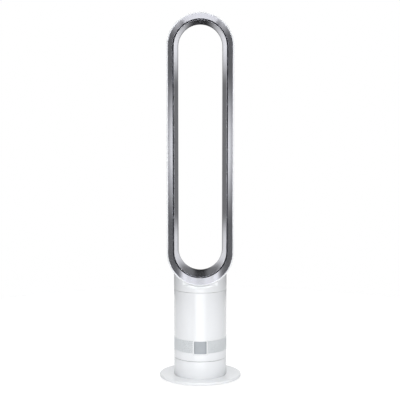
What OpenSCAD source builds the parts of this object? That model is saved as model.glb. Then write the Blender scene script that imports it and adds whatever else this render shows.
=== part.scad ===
// Tower fan with an open air loop: a weighted base with an oscillation drive,
// a round body that holds the impeller, and a tall hollow loop that blows forward.
// Millimetres, +Z up, front towards -Y, origin on the floor under the body's axis.

/* [Overall] */
// Height from the floor to the top of the loop
overall_h = 1007; // [850:1:1220]
// Outer diameter of the body and of the column under it
body_d = 146; // [128:1:178]
// Wall of the body's casings
body_wall = 2.6; // [2:0.1:3.2]

/* [Base] */
// Diameter of the base plate
base_d = 226; // [185:1:275]
// Height of the base plate's rim
rim_h = 6.5; // [6.2:0.1:9]
// Height that the rubber feet lift the plate
foot_lift = 1.5; // [1:0.1:2.5]
// Radius of a rubber foot
foot_r = 7; // [5:0.5:8]
// Number of rubber feet
foot_count = 6; // [4:1:8]
// Height of the fixed column above the base plate
column_h = 48; // [44:1:58]
// Bore of the gland that the mains lead enters by
gland_bore_r = 3.2; // [2.6:0.1:3.9]

/* [Swivel] */
// Open seam between the fixed column and the turning body
seam = 1.0; // [0.8:0.1:1.3]
// Outer radius of the hollow pivot post
pivot_r = 12; // [10:0.5:13]
// Radial play of the turning hub on the pivot post
pivot_play = 0.07; // [0.05:0.01:0.1]
// Tooth size of the oscillation gears
gear_module = 1; // [0.85:0.05:1.2]
// Teeth of the gear under the turntable
gear_teeth = 60; // [50:1:72]
// Teeth of the motor's pinion
pinion_teeth = 18; // [15:1:21]

/* [Body] */
// Height of the plain ring under the inlet band
lower_casing_h = 22.9; // [20:0.1:27.5]
// Height of the perforated inlet band
inlet_h = 34; // [29:1:41]
// Diameter of an inlet hole
inlet_hole_d = 4.2; // [3.5:0.1:5]
// Height of the plain casing above the inlet band
upper_casing_h = 133.4; // [125:0.1:161]
// Width of the power button's cap
button_w = 33.6; // [28:0.1:38]
// Gap all round the power button's cap
button_gap = 0.4; // [0.3:0.05:0.6]
// How far the power button travels
button_travel = 1.2; // [0.8:0.1:1.4]

/* [Air path] */
// Radius of the motor shaft
shaft_r = 2.5; // [2:0.1:3]
// Blades on the impeller
blade_count = 9; // [7:1:11]
// Vanes in the diffuser
vane_count = 11; // [9:1:13]
// Radius of the air hole from the neck into the loop
loop_inlet_r = 34; // [28:1:38]

/* [Loop] */
// Width of the loop's clear opening
opening_w = 122; // [102:1:147]
// Depth of the loop, front to rear
loop_depth = 110; // [95:1:125]
// Rise of the inner shell from its throat to its lip
throat_rise = 10.6; // [8.8:0.1:12.8]
// Gap of the air slot
slot_gap = 1.5; // [1.2:0.1:1.9]
// Rise of the front bezel from the slot to the front rim
diffuser_rise = 13.3; // [11:0.1:16]
// Width of the outer shell's rim round the bezel
shell_rim = 3.2; // [3:0.1:4]
// Wall of the loop's shells
loop_wall = 2.2; // [1.8:0.1:2.6]
// Height from the neck's seam to the lowest point of the loop
neck_rise = 15; // [12.5:0.5:18]

/* [Hidden] */
$fn = 96;
fit = 0.2;                 // gap between pieces that are pushed together
hair = 0.1;                // gap between rings that butt
eps = 0.5;                 // how far a cut passes a face

// Body radii
body_r = body_d / 2;
inner_r = body_r - body_wall;
base_r = base_d / 2;

// Heights of the base, from the floor up
plate_top = foot_lift + rim_h;
plate_skin = 2.4;
cover_t = 1.6;
column_top = plate_top + column_h;
body_z = column_top + seam;

// Heights of the turning body
casing_top = body_z + lower_casing_h;
band_z = casing_top + hair;
band_top = band_z + inlet_h;
upper_z = band_top + hair;
upper_top = upper_z + upper_casing_h;
neck_z = upper_top + 0.8;

// Screw sizes
screw_r = 1.5;
screw_play = 0.05;
head_r = 3;
head_h = 1.6;

// Base fasteners and feet
cover_screw_count = 6;
column_screw_count = 4;
foot_sink = 0.7;
foot_ring_r = base_r - 17;
rim_fillet = 2.2;
foot_fillet = 1;
cover_screw_ring_r = inner_r - 12;
column_flange_t = 3;
column_boss_r = 4.5;
column_screw_ring_r = inner_r - 5.4;
skirt_t = 3;

// Cord gland
gland_z = plate_top + 12;
gland_neck_r = gland_bore_r + 2.8;
gland_flange_r = gland_neck_r + 1.6;
gland_flange_t = 3;
gland_out_y = body_r + hair + gland_flange_t;
gland_cone = 3;

// Swivel, measured down from the seam
chassis_t = 3;
chassis_z = column_top - 18;
chassis_wall = 2.5;
glide_z = column_top - 1.2;
turntable_z = body_z + 0.4;
turntable_t = 3;
turntable_top = turntable_z + turntable_t;
hub_z = chassis_z + chassis_t + 3;
hub_wall = 8;
post_flange_t = 2.5;
post_bore_r = pivot_r - 4;
washer_t = 0.7;
clip_t = 1.2;
clip_w = 4;
washer_z = turntable_top + 0.1;
clip_z = washer_z + washer_t + 0.2;
post_top = clip_z + clip_t + 1.2;
gear_t = 6;
gear_z = hub_z + 0.4;
gear_r = gear_module * gear_teeth / 2;
pinion_r = gear_module * pinion_teeth / 2;
gear_centres = gear_r + pinion_r + 0.05;
motor_r = 14;
motor_h = 17;
motor_shaft_r = 2;
shaft_low = chassis_z - motor_h + 2.5;
ear_x = motor_r + 4;
ear_r = 3.5;

// Boards, their plugs and wires
board_t = 1.6;
plug_h = 9;
supply_wire_r = 1.8;
loom_r = 2;

// Control board on the turntable
board_screw_count = 4;
casing_screw_count = 6;
standoff_h = 6.6;
standoff_r = 3.2;
board_z = turntable_top + standoff_h;
board_r = inner_r - 16.4;
board_screw_ring_r = board_r - 9;
casing_flange_t = 2;
casing_screw_ring_r = inner_r - 10.9;
flange_top = turntable_top + hair + casing_flange_t;

// Display behind the power button
display_y = -(inner_r - 5.8);
display_w = 40;
display_h = 35;
display_z = band_z + inlet_h / 2 - 1.4;
button_t = 2.4;
button_h = inlet_h + 0.2;
frame_w = 2.8;
frame_t = 2.4;
window_w = button_w + 2 * button_gap;
window_h = button_h + 2 * button_gap;
frame_angle = asin((window_w / 2 + frame_w) / body_r);
bracket_angle = asin((display_w / 2 + 4) / -display_y);
stem_z = display_z - 7;
switch_y = display_y - 2.3;

// Air path, measured up from the inlet band
duct_wall = 2;
duct_r = inner_r - 10.4;
throat_r = duct_r - 16;
shroud_z = upper_z + 3.9;
throat_z = shroud_z + 4;
inlet_lip_r = 8;
seal_t = 3;
cone_top = throat_z + 48;
ledge_z = upper_top - 41.5;
ledge_t = 2.5;
isolator_h = 2.8;
isolator_r = 2.6;
isolator_count = 3;
shroud_flange_t = 3;
shroud_top = ledge_z - hair;
blade_gap = 1;
impeller_z = throat_z + 4;
impeller_top = throat_z + 43;
hub_low_r = 16;
bucket_r = duct_r - 16;
bucket_z = impeller_top + 3;
bucket_h = 32;
bucket_wall = 2;
nose_h = 32;
bearing_r = 8;
bearing_t = 5;
shaft_play = 0.05;
stator_r = bucket_r - bucket_wall - 12;
stator_z = bucket_z + 8;
stator_h = 18;
rotor_r = stator_r / 2;
rotor_gap = 0.5;
stator_slots = 12;
stator_slot_r = 2.4;
nut_r = 4.6;
nut_h = 3;

// Loop section: radii from the loop's middle line, and depths from the front
throat_r_loop = opening_w / 2;
lip_t = 1.6;
lip_r = throat_r_loop + throat_rise;
nose_r = lip_r + lip_t + slot_gap;
bezel_r = nose_r + diffuser_rise;
shell_r = bezel_r + shell_rim;
shell_bulge = 0.4;
loop_r = shell_r + shell_bulge;
front_y = -loop_depth / 2;
rear_y = loop_depth / 2;
slot_depth = 35;
throat_depth = 17.5;
bulge_depth = 63;
slot_y = front_y + slot_depth;
throat_y = rear_y - throat_depth;
bulge_y = front_y + bulge_depth;
apex_r = throat_r_loop + 14;
lower_centre_z = neck_z + neck_rise + loop_r;
upper_centre_z = overall_h - loop_r;
loop_straight = upper_centre_z - lower_centre_z;
bezel_fit = 0.15;
bezel_skin = 1.8;
rim_flange = 2.5;
spacer_rows = 9;
spacer_l = 2;
magnet_r = 5;
magnet_t = 2.4;

// ---------- shared shapes ----------

// A ring or disc, standing on z
module ring(r_out, r_in, h, z = 0) {
  translate([0, 0, z]) difference() {
    cylinder(h = h, r = r_out);
    if (r_in > 0) translate([0, 0, -eps]) cylinder(h = h + 2 * eps, r = r_in);
  }
}

// An upright rod that stands on z, and a rod along Y from y0 to y1
module rod(r, h, z) {
  translate([0, 0, z]) cylinder(h = h, r = r);
}

module rod_y(r, y0, y1, z, x = 0) {
  translate([x, y0, z]) rotate([-90, 0, 0]) cylinder(h = y1 - y0, r = r);
}

// Copies its children n times round the axis, at radius r, starting at angle a
module spaced(n, r, a = 0) {
  for (i = [0 : n - 1]) rotate(a + i * 360 / n) translate([r, 0, 0]) children();
}

// A screw: its head from z, then its shank up to the given length
module screw(z, length, r = screw_r) {
  translate([0, 0, z]) cylinder(h = head_h, r = head_r);
  translate([0, 0, z + head_h]) cylinder(h = length, r = r);
}

// A wedge of the space round the axis, between two angles measured from the front
module wedge(a0, a1, r, z0, z1) {
  translate([0, 0, z0]) rotate([0, 0, a0 - 90])
    rotate_extrude(angle = a1 - a0) square([r, z1 - z0]);
}

// Points on an arc of an ellipse
function arc(c, rx, ry, a0, a1, n) =
  [for (i = [0 : n]) let (a = a0 + (a1 - a0) * i / n) [c[0] + rx * cos(a), c[1] + ry * sin(a)]];

// A point on a cubic curve, and a row of them
function mix(a, b, t) = a + (b - a) * t;
function bez(p, t) = len(p) == 1 ? p[0] : bez([for (i = [1 : len(p) - 1]) mix(p[i - 1], p[i], t)], t);
function bez_row(p, n) = [for (i = [0 : n]) bez(p, i / n)];
function reverse(list) = [for (i = [len(list) - 1 : -1 : 0]) list[i]];

// A wire swept along a row of points, with a mitred ring at each; side is the normal of the plane it bends in
module wire(points, r, side, sides = 10) {
  last = len(points) - 1;
  function unit(v) = v / norm(v);
  function way(i) = unit(unit(points[min(i + 1, last)] - points[min(i, last - 1)])
                         + unit(points[max(i, 1)] - points[max(i - 1, 0)]));
  function stretch(i) = 1 / (way(i) * unit(points[min(i + 1, last)] - points[min(i, last - 1)]));
  rings = [for (i = [0 : last]) let (across = cross(way(i), side))
    for (k = [0 : sides - 1]) let (a = 360 * k / sides)
      points[i] + r * cos(a) * side + r * sin(a) * stretch(i) * across];
  polyhedron(rings, concat(
    [[for (k = [0 : sides - 1]) k]],
    [for (i = [0 : last - 1], k = [0 : sides - 1]) let (n = (k + 1) % sides)
      [i * sides + k, (i + 1) * sides + k, (i + 1) * sides + n, i * sides + n]],
    [[for (k = [sides - 1 : -1 : 0]) last * sides + k]]));
}

// ---------- gears ----------

function involute_angle(ratio) = let (t = sqrt(max(0, ratio * ratio - 1))) t * 180 / PI - atan(t);

// Half the angle that a tooth fills at radius r
function tooth_half(teeth, r, play) =
  let (pitch_r = gear_module * teeth / 2, base_circle = pitch_r * cos(20))
  90 / teeth - play / pitch_r * 90 / PI
    + involute_angle(1 / cos(20)) - involute_angle(max(1, r / base_circle));

function on_circle(r, a) = [r * cos(a), r * sin(a)];

function gear_points(teeth, play) =
  let (pitch_r = gear_module * teeth / 2, root = pitch_r - 1.25 * gear_module, tip = pitch_r + gear_module,
       steps = 5, radii = [for (i = [0 : steps]) mix(root, tip, i / steps)])
  [for (k = [0 : teeth - 1]) let (mid = k * 360 / teeth)
    each concat([for (r = radii) on_circle(r, mid - tooth_half(teeth, r, play))],
                [for (r = reverse(radii)) on_circle(r, mid + tooth_half(teeth, r, play))])];

// ---------- the fixed base ----------

module rubber_feet() color([0.16, 0.16, 0.17])
  spaced(foot_count, foot_ring_r, 90) rod(foot_r, foot_lift + foot_sink - hair, 0);

module base_cover() color([0.30, 0.31, 0.33]) difference() {
  ring(base_r - skirt_t - fit, 0, cover_t, foot_lift);
  spaced(foot_count, foot_ring_r, 90) rod(foot_r + hair, foot_sink + eps, foot_lift - eps);
  spaced(cover_screw_count, cover_screw_ring_r, 30) {
    rod(head_r + fit, eps + 0.9, foot_lift - eps);
    rod(screw_r + fit, plate_top, 0);
  }
}

module cover_screws() color("silver")
  spaced(cover_screw_count, cover_screw_ring_r, 30) {
    rod(head_r, 0.8, foot_lift + hair);
    rod(screw_r, rim_h - 1.8, foot_lift + 0.9);
  }

module ballast_plate() color([0.45, 0.46, 0.48]) difference() {
  ring(base_r - skirt_t - 5, 30, rim_h - plate_skin - cover_t - fit, foot_lift + cover_t + hair);
  spaced(cover_screw_count, cover_screw_ring_r, 30) rod(screw_r + 0.8, plate_top, 0);
  spaced(column_screw_count, column_screw_ring_r, 45) rod(head_r + 1, plate_top, 0);
}

module base_plate() color("white") {
  plate_disc();
  power_board_posts() {
    rod(post_pin_r + 1.4, power_board_z - plate_top + eps, plate_top - eps);
    rod(post_pin_r, power_board_z - plate_top + board_t + 0.6, plate_top);
  }
}

module plate_disc() difference() {
  rotate_extrude() polygon(concat(
    [[0, plate_top - plate_skin], [base_r - skirt_t, plate_top - plate_skin]],
    [[base_r - skirt_t, foot_lift]],
    arc([base_r - foot_fillet, foot_lift + foot_fillet], foot_fillet, foot_fillet, -90, 0, 5),
    arc([base_r - rim_fillet, plate_top - rim_fillet], rim_fillet, rim_fillet, 0, 90, 8),
    [[0, plate_top]]));
  spaced(cover_screw_count, cover_screw_ring_r, 30) rod(screw_r + screw_play, plate_top - 0.7, 0);
  spaced(column_screw_count, column_screw_ring_r, 45) rod(screw_r + fit, plate_top + eps, 0);
}

module base_column() color("white") difference() {
  union() {
    ring(body_r, inner_r, column_h, plate_top);
    ring(inner_r + eps, inner_r - 9.4, column_flange_t, plate_top);
    ring(inner_r + eps, max(inner_r - 4.4, gear_centres + motor_r + fit), 3, chassis_z - 3);
    spaced(column_screw_count, column_screw_ring_r, 45) rod(column_boss_r, 7, plate_top);
  }
  spaced(column_screw_count, column_screw_ring_r, 45) rod(screw_r + screw_play, plate_top + 6, 0);
  rod_y(gland_neck_r + hair, inner_r - 3, body_r + 3, gland_z);
}

module column_screws() color("silver")
  spaced(column_screw_count, column_screw_ring_r, 45)
    screw(plate_top - plate_skin - head_h - fit, plate_skin + 5.8);

module cord_gland() color([0.62, 0.63, 0.65]) difference() {
  union() {
    rod_y(gland_flange_r, inner_r - 0.6 - gland_flange_t, inner_r - 0.6, gland_z);
    rod_y(gland_neck_r, inner_r - 1, body_r + 0.2, gland_z);
    rod_y(gland_flange_r, body_r + hair, gland_out_y, gland_z);
    translate([0, gland_out_y - hair, gland_z]) rotate([-90, 0, 0])
      cylinder(h = gland_cone, r1 = gland_flange_r - 0.6, r2 = gland_bore_r + 1.2);
  }
  rod_y(gland_bore_r, inner_r - gland_flange_t - 2, gland_out_y + gland_cone + 1, gland_z);
}

// Power board: its rear edge, the inset of its corner posts, and the room that they need inside the column
power_board_rear = -8;
post_inset = 5;
post_pin_r = 1.3;
post_x = (inner_r - 0.4) / 2 - post_inset;
post_y = floor(sqrt(pow(inner_r - 12.9, 2) - pow(post_x, 2)));
power_board_y = -post_y - post_inset;
power_board_size = [2 * (post_x + post_inset), power_board_rear - power_board_y, board_t];
power_board_z = plate_top + 5;

// Places its children at the power board's four corner posts
module power_board_posts() for (x = [-post_x, post_x], y = [-post_y, power_board_rear - post_inset])
  translate([x, y, 0]) children();

module power_board() color([0.10, 0.36, 0.22]) difference() {
  translate([-power_board_size[0] / 2, power_board_y, power_board_z]) cube(power_board_size);
  power_board_posts() translate([0, 0, power_board_z - 1]) cylinder(h = 4, r = post_pin_r + hair);
}

module power_parts() {
  top = power_board_z + board_t;
  half = post_x + post_inset;
  coil_w = half - 13;
  coil_l = power_board_size[1] - 24;
  color([0.75, 0.65, 0.25]) translate([9 - half, power_board_y + 10, top]) cube([coil_w, coil_l, 15]);
  color([0.15, 0.17, 0.30]) for (x = [half - 27, half - 13])
    translate([x, power_board_y + 16, 0]) rod(6, 14, top);
  color([0.20, 0.45, 0.25]) translate([-6, power_board_rear - 9, top]) cube([12, 8, plug_h]);
}

module supply_wires() color([0.20, 0.20, 0.22]) {
  start = inner_r - gland_flange_t - 5;
  edge = power_board_rear;
  plug_z = power_board_z + board_t + 4;
  low = plate_top + 4.5;
  wire([[0, start, gland_z - 1], [0, start - 3, gland_z - 2.5], [0, start - 7, low + 2],
        [0, start - 12, low], [0, edge + 15, low], [0, edge + 9, low + 1.5],
        [0, edge + 4, plug_z], [0, edge - 0.9, plug_z]], supply_wire_r, [1, 0, 0]);
}

module swivel_chassis() color([0.86, 0.87, 0.88]) difference() {
  union() {
    ring(inner_r - fit, 0, chassis_t, chassis_z);
    ring(inner_r - fit, inner_r - fit - chassis_wall, body_z - 0.1 - chassis_z, chassis_z);
    ring(inner_r - 1, inner_r - 7, 2.5, glide_z - 2.5);
  }
  translate([0, 0, chassis_z - eps]) cylinder(h = 5, r = post_bore_r);
  translate([0, gear_centres, chassis_z - eps]) cylinder(h = 5, r = motor_shaft_r + 2);
  for (x = [-ear_x, ear_x]) translate([x, gear_centres, 0]) rod(screw_r + screw_play, 5, chassis_z - eps);
}

module oscillation_motor() color([0.72, 0.73, 0.75]) translate([0, gear_centres, 0]) difference() {
  union() {
    translate([0, 0, chassis_z - motor_h]) cylinder(h = motor_h, r = motor_r);
    translate([-ear_x, -ear_r, chassis_z - 1]) cube([2 * ear_x, 2 * ear_r, 1]);
    for (x = [-1, 1]) translate([x * ear_x, 0, chassis_z - 1]) cylinder(h = 1, r = ear_r);
    translate([0, 0, chassis_z]) cylinder(h = 2, r = motor_shaft_r + 1.8);
  }
  translate([0, 0, chassis_z - motor_h + 2]) cylinder(h = motor_h + 4, r = motor_shaft_r + 0.06);
  for (x = [-1, 1]) translate([x * ear_x, 0, chassis_z - 4]) cylinder(h = 8, r = screw_r + fit);
}

module motor_screws() color("silver") for (x = [-1, 1])
  translate([x * ear_x, gear_centres, 0]) screw(chassis_z - 1 - head_h, chassis_t + 0.5);

module pivot_post() color([0.80, 0.81, 0.83]) rotate_extrude() polygon([
  [post_bore_r, chassis_z + chassis_t], [pivot_r + 6, chassis_z + chassis_t],
  [pivot_r + 6, chassis_z + chassis_t + post_flange_t], [pivot_r, chassis_z + chassis_t + post_flange_t],
  [pivot_r, clip_z - 0.05], [pivot_r - 1, clip_z - 0.05], [pivot_r - 1, clip_z + clip_t + 0.05],
  [pivot_r, clip_z + clip_t + 0.05], [pivot_r, post_top], [post_bore_r, post_top]]);

module glide_ring() color([0.92, 0.92, 0.88])
  ring(inner_r - fit - chassis_wall - fit, inner_r - 6.8, body_z + 0.2 - glide_z, glide_z);

module thrust_washer() color([0.92, 0.92, 0.88]) ring(pivot_r + 6, pivot_r + hair, washer_t, washer_z);

module pivot_clip() color([0.35, 0.36, 0.38]) difference() {
  ring(pivot_r + clip_w, pivot_r - 0.9, clip_t, clip_z);
  translate([0, -5, clip_z - eps]) cube([pivot_r + clip_w + 2, 10, clip_t + 2 * eps]);
}

module base_loom() color([0.20, 0.20, 0.22]) {
  start = power_board_rear - 4;
  plug_z = power_board_z + board_t + plug_h + hair;
  wire([[0, start, plug_z], [0, start, plug_z + 3], [0, start + 3, chassis_z - 8],
        [0, start + 8, chassis_z - 6], [0, 0, chassis_z - 2], [0, 0, post_top + 1]], loom_r, [1, 0, 0]);
}

// ---------- the pinion ----------

module pinion_shaft() color("silver")
  translate([0, gear_centres, 0]) rod(motor_shaft_r, gear_z + gear_t + 2 - shaft_low, shaft_low);

module drive_pinion() color([0.93, 0.93, 0.90]) translate([0, gear_centres, 0]) difference() {
  translate([0, 0, gear_z - 0.6]) rotate(180 / pinion_teeth - 90)
    linear_extrude(gear_t + 1.2) polygon(gear_points(pinion_teeth, 0.12));
  translate([0, 0, gear_z - 2]) cylinder(h = gear_t + 4, r = motor_shaft_r + 0.02);
}

// ---------- the turning body ----------

module turntable() color([0.86, 0.87, 0.88]) difference() {
  union() {
    ring(inner_r - fit, pivot_r + pivot_play, turntable_t, turntable_z);
    ring(pivot_r + hub_wall, pivot_r + pivot_play, turntable_z + 1 - hub_z, hub_z);
    spaced(board_screw_count, board_screw_ring_r, 45) rod(standoff_r, standoff_h + 1, turntable_top - 1);
  }
  spaced(board_screw_count, board_screw_ring_r, 45) rod(screw_r + screw_play, standoff_h + 1, turntable_top);
  spaced(casing_screw_count, casing_screw_ring_r, 0) rod(screw_r + fit, turntable_t + 1, turntable_z - eps);
}

module driven_gear() color([0.93, 0.93, 0.90]) difference() {
  translate([0, 0, gear_z]) rotate(90) linear_extrude(gear_t) polygon(gear_points(gear_teeth, 0.12));
  translate([0, 0, gear_z - 1]) cylinder(h = gear_t + 2, r = pivot_r + hub_wall + 0.05);
}

module casing_screws() color("silver") spaced(casing_screw_count, casing_screw_ring_r, 0)
  screw(turntable_z - head_h, turntable_t + casing_flange_t - 0.2);

module lower_casing() color("white") difference() {
  union() {
    ring(body_r, inner_r, lower_casing_h, body_z);
    ring(inner_r + eps, inner_r - 15.4, casing_flange_t, turntable_top + hair);
  }
  spaced(casing_screw_count, casing_screw_ring_r, 0) translate([0, 0, turntable_top - 1])
    cylinder(h = casing_flange_t + 3, r = screw_r + screw_play);
  window_notch();
}

module lower_foam() color([0.28, 0.29, 0.31]) difference() {
  ring(inner_r - 0.6, inner_r - 8, casing_top - flange_top - 4.5, flange_top + fit);
  wedge(-24, 24, body_r, 0, casing_top);
}

module control_board() color([0.10, 0.36, 0.22]) difference() {
  ring(board_r, pivot_r + 6, board_t, board_z);
  translate([-display_w, -board_r - 10, board_z - 1]) cube([2 * display_w, 16, board_t + 2]);
  spaced(board_screw_count, board_screw_ring_r, 45) rod(screw_r + fit, 4, board_z - 1);
}

module board_parts() {
  top = board_z + board_t;
  color([0.12, 0.12, 0.14]) translate([-44, -12, top]) cube([14, 14, 2]);
  color([0.15, 0.17, 0.30]) for (x = [-12, 2, 16]) translate([x, 36, top]) cylinder(h = 11, r = 5);
  color([0.85, 0.85, 0.80]) translate([26, -10, top]) cube([8, 20, 7]);
}

module board_screws() color("silver") spaced(board_screw_count, board_screw_ring_r, 45) {
  rod(head_r, head_h, board_z + board_t);
  rod(screw_r, board_t + 5, board_z - 5);
}

module tower_loom() color([0.20, 0.20, 0.22]) wire([
  [0, 0, post_top + 1.3], [0, 0, board_z + 6], [3, 0, board_z + 10], [15, 0, board_z + 10],
  [20, 0, board_z + board_t + 4], [25.9, 0, board_z + board_t + 4]], loom_r, [0, 1, 0]);

// A plate that faces the front, centred on the display
module front_plate(w, h, y, t) {
  translate([-w / 2, y, display_z - h / 2]) cube([w, t, h]);
}

module display_bracket() color([0.86, 0.87, 0.88]) difference() {
  union() {
    front_plate(display_w + 4, display_h + 4, display_y, 4);
    translate([-10, display_y, flange_top + fit]) cube([20, 4, display_z - display_h / 2 - flange_top]);
    translate([-10, display_y, flange_top + fit]) cube([20, 10, 2]);
  }
  front_plate(display_w + 2 * hair, display_h + 2 * hair, display_y - eps, 1.7 + eps);
  front_plate(display_w - 6, display_h - 6, display_y - 1, 8);
}

module display_board() color([0.10, 0.36, 0.22])
  front_plate(display_w, display_h, display_y, 1.6);

module display_parts() color([0.05, 0.05, 0.06]) {
  translate([-9, display_y - 2.2, display_z + 1]) cube([18, 2.2, 11]);
  translate([-3, display_y - 1.8, stem_z - 3]) cube([6, 1.8, 6]);
  rod_y(1.6, switch_y, display_y - 1.8, stem_z);
}

// The patch of the body's round wall in front of the display, w wide and h high
module front_patch(w, h, t) intersection() {
  ring(body_r, body_r - t, h, display_z - h / 2);
  translate([-w / 2, -body_r - 1, display_z - h / 2 - 1]) cube([w, body_r, h + 2]);
}

module window_frame() color("white") difference() {
  front_patch(window_w + 2 * frame_w, window_h + 2 * frame_w, frame_t);
  translate([-window_w / 2, -body_r - 1, display_z - window_h / 2]) cube([window_w, body_r, window_h]);
}

module power_button() color([0.70, 0.72, 0.75]) {
  front_patch(button_w, button_h, button_t);
  rod_y(2.5, button_t / 2 - body_r, switch_y - button_travel - hair, stem_z);
}

// The notch that the window frame leaves in the walls round it
module window_notch() translate([0, -body_r / 2, display_z])
  cube([window_w + 2 * (frame_w + hair), body_r + 4, window_h + 2 * (frame_w + hair)], center = true);

hole_rows = floor((inlet_h - 1.6) / (inlet_hole_d * 1.68));
hole_cols = floor(2 * PI * body_r / (inlet_hole_d * 1.72));
hole_row_step = inlet_h / (hole_rows + 0.35);
hole_edge = asin((inlet_hole_d / 2 + 1) / body_r);
band_t = 2;

module inlet_band() color([0.84, 0.86, 0.87]) difference() {
  ring(body_r, body_r - band_t, inlet_h, band_z);
  window_notch();
  for (c = [0 : hole_cols - 1]) let (a = 360 * c / hole_cols, off = min(a, 360 - a))
    if (off > frame_angle + hole_edge) rotate(a - 90) for (k = [0 : hole_rows - 1])
      translate([body_r - 4, 0, band_z + hole_row_step * (k + 0.675)]) rotate([0, 90, 0])
        cylinder(h = 6, r = inlet_hole_d / 2);
}

module inlet_mesh() color([0.55, 0.56, 0.58]) difference() {
  ring(inner_r - fit, inner_r - 0.8, inlet_h + 5, band_z - 2.5);
  translate([0, 0, band_z - 4]) wedge(-frame_angle - 2, frame_angle + 2, body_r, 0, inlet_h + 8);
}

// The skeleton behind the inlet band, which joins the casings and carries the mesh
module inlet_frame() color([0.86, 0.87, 0.88]) {
  frame_r = inner_r - 1;
  hoop_w = 3.2;
  hoop_h = 3;
  rib_w = 8;
  foot_z = casing_top - 3.4;
  head_z = upper_z + 0.6;
  difference() {
    union() for (z = [foot_z, head_z]) ring(frame_r, frame_r - hoop_w, hoop_h, z);
    wedge(-bracket_angle, bracket_angle, body_r, 0, head_z + 10);
  }
  spaced(6, 0, 0) translate([frame_r - hoop_w, -rib_w / 2, foot_z]) cube([2.9, rib_w, head_z - foot_z + 1]);
}

module upper_casing() color("white") {
  difference() {
    ring(body_r, inner_r, upper_casing_h, upper_z);
    window_notch();
  }
  ring(inner_r + eps, duct_r + duct_wall + 0.8, ledge_t, ledge_z);
}

// ---------- the air path ----------

module shroud_seal() color([0.20, 0.20, 0.21]) ring(inner_r - hair, inner_r - 4.2, seal_t, shroud_z);

module impeller_shroud() color([0.80, 0.81, 0.83]) rotate_extrude() polygon(concat(
  [[inner_r - 4.4, shroud_z]],
  arc([throat_r + inlet_lip_r, shroud_z + inlet_lip_r], inlet_lip_r, inlet_lip_r, 270, 180, 8),
  [[duct_r, cone_top], [duct_r, shroud_top], [duct_r + duct_wall, shroud_top],
   [duct_r + duct_wall, shroud_top - isolator_h], [inner_r - 1.4, shroud_top - isolator_h],
   [inner_r - 1.4, shroud_top - isolator_h - shroud_flange_t],
   [duct_r + duct_wall, shroud_top - isolator_h - shroud_flange_t],
   [duct_r + duct_wall, cone_top + 1], [throat_r + duct_wall + 1.5, throat_z + 6],
   [throat_r + 9, shroud_z + 2.6], [inner_r - 4.4, shroud_z + 2.6]]));

module isolators() color([0.18, 0.18, 0.19])
  spaced(isolator_count, inner_r - 5.2, 90) rod(isolator_r, isolator_h, shroud_top - isolator_h + hair / 2);

// A vertical curved plate from the axis outwards, as blades and vanes use
module curved_plate(bend_r, t, h) {
  translate([0, bend_r, 0]) linear_extrude(h) difference() {
    circle(r = bend_r + t / 2);
    circle(r = bend_r - t / 2);
    translate([-2 * bend_r, -2 * bend_r]) square([2 * bend_r, 4 * bend_r]);
  }
}

function shroud_r(z) = mix(throat_r, duct_r, max(0, z - throat_z - 4) / (cone_top - throat_z - 4));

module impeller() color([0.75, 0.12, 0.30]) difference() {
  union() {
    rotate_extrude() polygon([[0, impeller_z], [hub_low_r, impeller_z], [bucket_r - 4, impeller_top],
      [bucket_r - 7, impeller_top], [hub_low_r - 2.5, impeller_z + 3], [8, impeller_z + 3],
      [8, impeller_top - 8], [0, impeller_top - 8]]);
    intersection() {
      rotate_extrude() polygon([[hub_low_r - 1, impeller_z], [throat_r - blade_gap, impeller_z],
        [shroud_r(impeller_top) - blade_gap, impeller_top], [bucket_r - 5, impeller_top]]);
      union() for (i = [0 : blade_count - 1]) rotate(i * 360 / blade_count)
        translate([0, 0, impeller_z]) curved_plate(duct_r * 0.9, 2, impeller_top - impeller_z);
    }
  }
  translate([0, 0, impeller_z - 1]) cylinder(h = impeller_top - impeller_z + 2, r = shaft_r + 0.02);
}

module impeller_nut() color("silver") difference() {
  translate([0, 0, impeller_z - nut_h - fit]) cylinder(h = nut_h, r = nut_r, $fn = 6);
  translate([0, 0, impeller_z - 4]) cylinder(h = 5, r = shaft_r + 0.02);
}

module motor_shaft() color([0.78, 0.79, 0.80])
  translate([0, 0, impeller_z - 5]) cylinder(h = bucket_z + bucket_h - 1.5 - impeller_z + 5, r = shaft_r);

module motor_rotor() color([0.35, 0.36, 0.38])
  ring(rotor_r - rotor_gap, shaft_r + 0.02, stator_h - 1, stator_z + 0.5);

module motor_stator() color([0.72, 0.45, 0.20]) difference() {
  ring(stator_r, rotor_r, stator_h, stator_z);
  spaced(stator_slots, (stator_r + rotor_r) / 2, 0) rod(stator_slot_r, stator_h + 2, stator_z - 1);
}

module motor_bearings() color([0.60, 0.61, 0.63]) {
  ring(bearing_r, shaft_r + shaft_play, bearing_t, bucket_z + bucket_wall + 0.2);
  ring(bearing_r, shaft_r + shaft_play, bearing_t, stator_z + stator_h + 1.5);
}

module motor_bucket() color([0.86, 0.87, 0.88]) {
  ring(bucket_r, bucket_r - bucket_wall, bucket_h, bucket_z);
  ring(bucket_r - 1, shaft_r + 1.5, bucket_wall, bucket_z);
  ring(bearing_r + 2.4, bearing_r + 0.1, 5, bucket_z + 1);
  ring(bucket_r - 1, stator_r + 0.1, 6, stator_z + 2);
}

module bucket_nose() color([0.86, 0.87, 0.88]) {
  nose_z = bucket_z + bucket_h + hair;
  rotate_extrude() polygon(concat([[bucket_r - bucket_wall, nose_z]],
    arc([0, nose_z], bucket_r, nose_h, 0, 90, 12),
    reverse(arc([0, nose_z], bucket_r - bucket_wall, nose_h - bucket_wall, 0, 90, 12))));
  ring(bucket_r - 1, bearing_r + 0.1, 2, nose_z + 0.5);
  ring(bearing_r + 2.4, bearing_r + 0.1, nose_z + 1 - stator_z - stator_h - 2, stator_z + stator_h + 2);
}

vane_z = bucket_z + 4;
vane_h = 24;

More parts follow.
